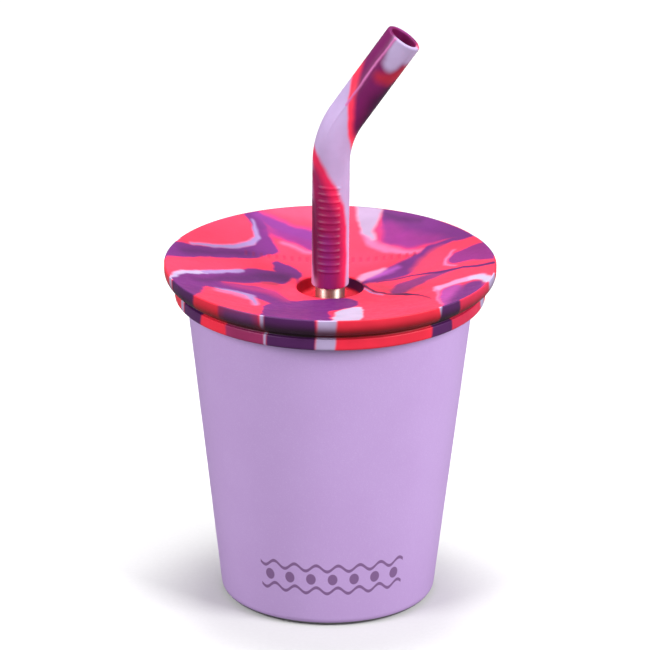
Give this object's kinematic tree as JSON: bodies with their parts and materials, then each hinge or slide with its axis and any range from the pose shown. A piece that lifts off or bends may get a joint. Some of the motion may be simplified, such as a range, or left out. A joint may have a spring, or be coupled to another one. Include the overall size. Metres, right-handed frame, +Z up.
{
  "type": "sippy cup",
  "caption": "Tapered steel cup for a child, with a lift-off silicone lid with a sunken top, a steel straw tube that slides in it and a bent silicone straw tip that swivels.",
  "frame": {"origin": "centre of the base, on the surface that the cup stands on", "axes": "+Z up the axis of the cup, +X the way the bent straw tip leans (turned six degrees towards -Y), -Y the front with the grip bars"},
  "size_m": [0.09, 0.09, 0.1623],
  "materials": {
    "cup_coating": "fine-grained matt powder coat",
    "lid_silicone": "satin marbled silicone",
    "straw_steel": "polished",
    "tip_silicone": "satin marbled silicone"
  },
  "bodies": {
    "cup": {"cup": "cup_coating"},
    "lid": {"lid": "lid_silicone"},
    "straw_tube": {"straw_tube": "straw_steel"},
    "straw_tip": {"straw_tip": "tip_silicone"}
  },
  "joints": [
    {"name": "lid_lift", "type": "slide", "parent": "cup", "child": "lid", "axis": [0, 0, 1], "range_m": [0, 0.095]},
    {"name": "straw_slide", "type": "slide", "parent": "lid", "child": "straw_tube", "axis": [0, 0, 1], "range_m": [-0.004, 0.08]},
    {"name": "tip_swivel", "type": "hinge", "parent": "straw_tube", "child": "straw_tip", "pos_m": [0, 0, 0.1], "axis": [0, 0, 1], "continuous": true}
  ]
}
